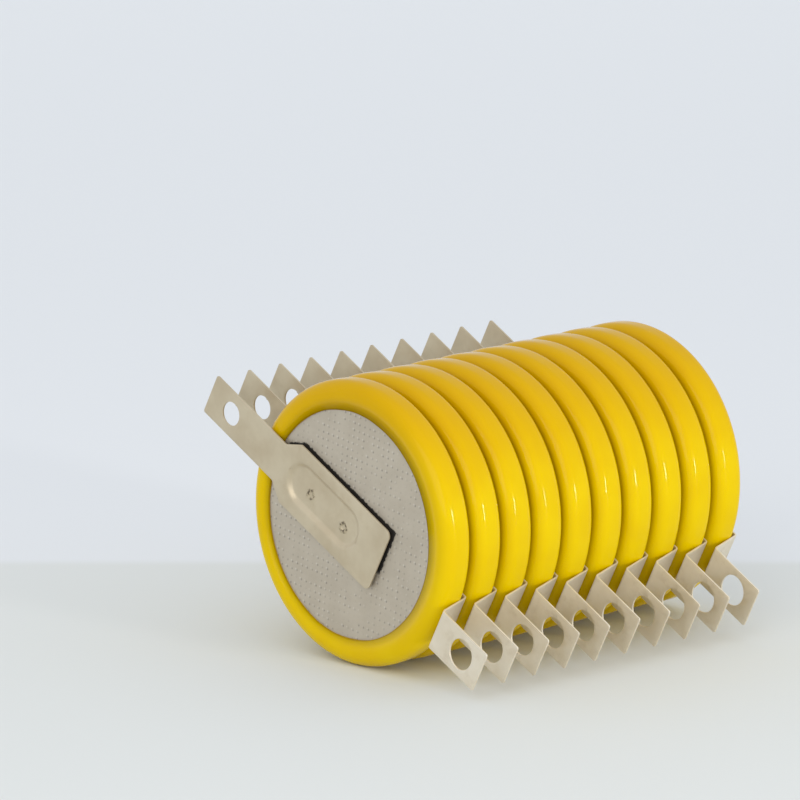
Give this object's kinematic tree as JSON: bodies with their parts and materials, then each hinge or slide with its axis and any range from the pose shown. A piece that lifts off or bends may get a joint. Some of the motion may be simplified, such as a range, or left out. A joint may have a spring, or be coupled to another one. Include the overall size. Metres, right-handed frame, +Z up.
{
  "type": "row of tabbed coin cells",
  "caption": "Row of tabbed lithium coin cells in heat-shrink sleeves, each with a flat front solder tab and a rear tab bent round the rim into a lug",
  "frame": {"origin": "middle of the row on the surface that the sleeves lie on", "axes": "+Z up, the row's axis along Y with the caps facing -Y, +X to the right seen from the caps, on the side of the rear lugs"},
  "size_m": [0.0351, 0.0358, 0.0248],
  "materials": {
    "sleeve": "glossy heat-shrunk film",
    "cell_steel": "nickel-plated stainless steel, dimpled",
    "tab_strip": "nickel-plated steel strip, satin",
    "core": "pressed powder, film and soft metal"
  },
  "bodies": {
    "cell_01": {"cell_01_sleeve": "sleeve", "cell_01_can": "cell_steel", "cell_01_cap": "cell_steel", "cell_01_core": "core", "cell_01_front_tab": "tab_strip", "cell_01_rear_tab": "tab_strip"},
    "cell_02": {"cell_02_sleeve": "sleeve", "cell_02_can": "cell_steel", "cell_02_cap": "cell_steel", "cell_02_core": "core", "cell_02_front_tab": "tab_strip", "cell_02_rear_tab": "tab_strip"},
    "cell_03": {"cell_03_sleeve": "sleeve", "cell_03_can": "cell_steel", "cell_03_cap": "cell_steel", "cell_03_core": "core", "cell_03_front_tab": "tab_strip", "cell_03_rear_tab": "tab_strip"},
    "cell_04": {"cell_04_sleeve": "sleeve", "cell_04_can": "cell_steel", "cell_04_cap": "cell_steel", "cell_04_core": "core", "cell_04_front_tab": "tab_strip", "cell_04_rear_tab": "tab_strip"},
    "cell_05": {"cell_05_sleeve": "sleeve", "cell_05_can": "cell_steel", "cell_05_cap": "cell_steel", "cell_05_core": "core", "cell_05_front_tab": "tab_strip", "cell_05_rear_tab": "tab_strip"},
    "cell_06": {"cell_06_sleeve": "sleeve", "cell_06_can": "cell_steel", "cell_06_cap": "cell_steel", "cell_06_core": "core", "cell_06_front_tab": "tab_strip", "cell_06_rear_tab": "tab_strip"},
    "cell_07": {"cell_07_sleeve": "sleeve", "cell_07_can": "cell_steel", "cell_07_cap": "cell_steel", "cell_07_core": "core", "cell_07_front_tab": "tab_strip", "cell_07_rear_tab": "tab_strip"},
    "cell_08": {"cell_08_sleeve": "sleeve", "cell_08_can": "cell_steel", "cell_08_cap": "cell_steel", "cell_08_core": "core", "cell_08_front_tab": "tab_strip", "cell_08_rear_tab": "tab_strip"},
    "cell_09": {"cell_09_sleeve": "sleeve", "cell_09_can": "cell_steel", "cell_09_cap": "cell_steel", "cell_09_core": "core", "cell_09_front_tab": "tab_strip", "cell_09_rear_tab": "tab_strip"},
    "cell_10": {"cell_10_sleeve": "sleeve", "cell_10_can": "cell_steel", "cell_10_cap": "cell_steel", "cell_10_core": "core", "cell_10_front_tab": "tab_strip", "cell_10_rear_tab": "tab_strip"}
  },
  "joints": [
    {"name": "cell_09_pull_away", "type": "slide", "parent": "cell_10", "child": "cell_09", "axis": [0, -1, 0], "range_m": [0, 0.012]},
    {"name": "cell_08_pull_away", "type": "slide", "parent": "cell_09", "child": "cell_08", "axis": [0, -1, 0], "range_m": [0, 0.012]},
    {"name": "cell_07_pull_away", "type": "slide", "parent": "cell_08", "child": "cell_07", "axis": [0, -1, 0], "range_m": [0, 0.012]},
    {"name": "cell_06_pull_away", "type": "slide", "parent": "cell_07", "child": "cell_06", "axis": [0, -1, 0], "range_m": [0, 0.012]},
    {"name": "cell_05_pull_away", "type": "slide", "parent": "cell_06", "child": "cell_05", "axis": [0, -1, 0], "range_m": [0, 0.012]},
    {"name": "cell_04_pull_away", "type": "slide", "parent": "cell_05", "child": "cell_04", "axis": [0, -1, 0], "range_m": [0, 0.012]},
    {"name": "cell_03_pull_away", "type": "slide", "parent": "cell_04", "child": "cell_03", "axis": [0, -1, 0], "range_m": [0, 0.012]},
    {"name": "cell_02_pull_away", "type": "slide", "parent": "cell_03", "child": "cell_02", "axis": [0, -1, 0], "range_m": [0, 0.012]},
    {"name": "cell_01_pull_away", "type": "slide", "parent": "cell_02", "child": "cell_01", "axis": [0, -1, 0], "range_m": [0, 0.012]}
  ]
}
